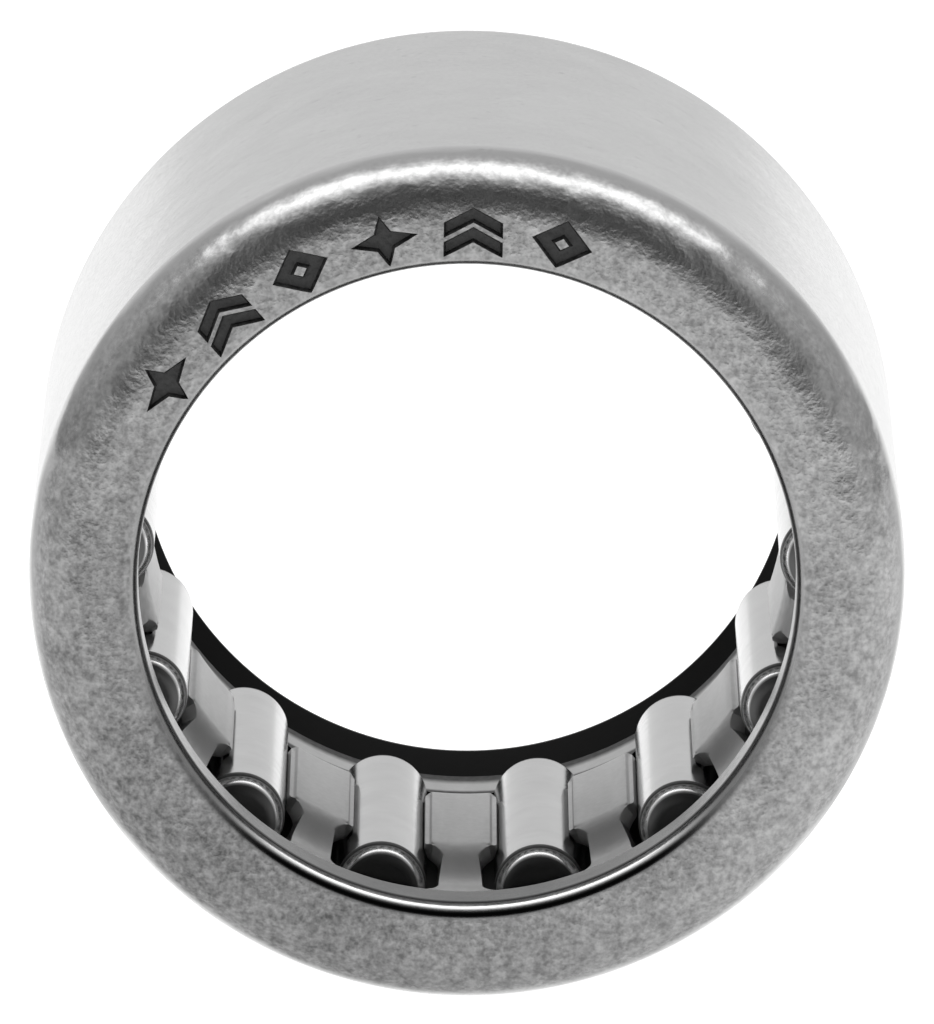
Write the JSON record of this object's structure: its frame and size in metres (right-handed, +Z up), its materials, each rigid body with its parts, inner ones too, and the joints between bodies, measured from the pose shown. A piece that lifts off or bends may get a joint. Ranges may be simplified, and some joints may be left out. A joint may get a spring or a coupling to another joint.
{
  "type": "needle roller bearing",
  "caption": "Drawn cup needle roller bearing, open at both ends: thin steel shell with inturned lips, cranked steel cage and loose needles.",
  "frame": {"origin": "middle of the bearing, on its axis", "axes": "+Y along the bearing's axis towards the rear lip, -Y out of the marked lip, +Z up, +X to the right when the marked lip faces the viewer"},
  "size_m": [0.014, 0.01, 0.014],
  "materials": {
    "cup_steel": "case hardened drawn steel, satin cylinder and tumbled end faces",
    "cage_steel": "pressed sheet steel, satin",
    "needle_steel": "hardened and ground, lapped bright"
  },
  "bodies": {
    "cup": {"drawn_cup": "cup_steel"},
    "cage": {"needle_cage": "cage_steel"},
    "needle_01": {"needle_roller_01": "needle_steel"},
    "needle_02": {"needle_roller_02": "needle_steel"},
    "needle_03": {"needle_roller_03": "needle_steel"},
    "needle_04": {"needle_roller_04": "needle_steel"},
    "needle_05": {"needle_roller_05": "needle_steel"},
    "needle_06": {"needle_roller_06": "needle_steel"},
    "needle_07": {"needle_roller_07": "needle_steel"},
    "needle_08": {"needle_roller_08": "needle_steel"},
    "needle_09": {"needle_roller_09": "needle_steel"},
    "needle_10": {"needle_roller_10": "needle_steel"},
    "needle_11": {"needle_roller_11": "needle_steel"},
    "needle_12": {"needle_roller_12": "needle_steel"},
    "needle_13": {"needle_roller_13": "needle_steel"},
    "needle_14": {"needle_roller_14": "needle_steel"}
  },
  "joints": [
    {"name": "cage_spin", "type": "hinge", "parent": "cup", "child": "cage", "pos_m": [0, 0, 0], "axis": [0, 1, 0], "continuous": true},
    {"name": "needle_01_spin", "type": "hinge", "parent": "cage", "child": "needle_01", "pos_m": [0.00117, 0, -0.00564], "axis": [0, 1, 0], "continuous": true},
    {"name": "needle_02_spin", "type": "hinge", "parent": "cage", "child": "needle_02", "pos_m": [0.0035, 0, -0.00457], "axis": [0, 1, 0], "continuous": true},
    {"name": "needle_03_spin", "type": "hinge", "parent": "cage", "child": "needle_03", "pos_m": [0.00514, 0, -0.0026], "axis": [0, 1, 0], "continuous": true},
    {"name": "needle_04_spin", "type": "hinge", "parent": "cage", "child": "needle_04", "pos_m": [0.00576, 0, -0.00011], "axis": [0, 1, 0], "continuous": true},
    {"name": "needle_05_spin", "type": "hinge", "parent": "cage", "child": "needle_05", "pos_m": [0.00524, 0, 0.0024], "axis": [0, 1, 0], "continuous": true},
    {"name": "needle_06_spin", "type": "hinge", "parent": "cage", "child": "needle_06", "pos_m": [0.00368, 0, 0.00443], "axis": [0, 1, 0], "continuous": true},
    {"name": "needle_07_spin", "type": "hinge", "parent": "cage", "child": "needle_07", "pos_m": [0.00139, 0, 0.00559], "axis": [0, 1, 0], "continuous": true},
    {"name": "needle_08_spin", "type": "hinge", "parent": "cage", "child": "needle_08", "pos_m": [-0.00117, 0, 0.00564], "axis": [0, 1, 0], "continuous": true},
    {"name": "needle_09_spin", "type": "hinge", "parent": "cage", "child": "needle_09", "pos_m": [-0.0035, 0, 0.00457], "axis": [0, 1, 0], "continuous": true},
    {"name": "needle_10_spin", "type": "hinge", "parent": "cage", "child": "needle_10", "pos_m": [-0.00514, 0, 0.0026], "axis": [0, 1, 0], "continuous": true},
    {"name": "needle_11_spin", "type": "hinge", "parent": "cage", "child": "needle_11", "pos_m": [-0.00576, 0, 0.00011], "axis": [0, 1, 0], "continuous": true},
    {"name": "needle_12_spin", "type": "hinge", "parent": "cage", "child": "needle_12", "pos_m": [-0.00524, 0, -0.0024], "axis": [0, 1, 0], "continuous": true},
    {"name": "needle_13_spin", "type": "hinge", "parent": "cage", "child": "needle_13", "pos_m": [-0.00368, 0, -0.00443], "axis": [0, 1, 0], "continuous": true},
    {"name": "needle_14_spin", "type": "hinge", "parent": "cage", "child": "needle_14", "pos_m": [-0.00139, 0, -0.00559], "axis": [0, 1, 0], "continuous": true}
  ],
  "couplings": [
    {"joint": "needle_01_spin", "follows": "cage_spin", "ratio": -8.7067},
    {"joint": "needle_02_spin", "follows": "cage_spin", "ratio": -8.7067},
    {"joint": "needle_03_spin", "follows": "cage_spin", "ratio": -8.7067},
    {"joint": "needle_04_spin", "follows": "cage_spin", "ratio": -8.7067},
    {"joint": "needle_05_spin", "follows": "cage_spin", "ratio": -8.7067},
    {"joint": "needle_06_spin", "follows": "cage_spin", "ratio": -8.7067},
    {"joint": "needle_07_spin", "follows": "cage_spin", "ratio": -8.7067},
    {"joint": "needle_08_spin", "follows": "cage_spin", "ratio": -8.7067},
    {"joint": "needle_09_spin", "follows": "cage_spin", "ratio": -8.7067},
    {"joint": "needle_10_spin", "follows": "cage_spin", "ratio": -8.7067},
    {"joint": "needle_11_spin", "follows": "cage_spin", "ratio": -8.7067},
    {"joint": "needle_12_spin", "follows": "cage_spin", "ratio": -8.7067},
    {"joint": "needle_13_spin", "follows": "cage_spin", "ratio": -8.7067},
    {"joint": "needle_14_spin", "follows": "cage_spin", "ratio": -8.7067}
  ]
}
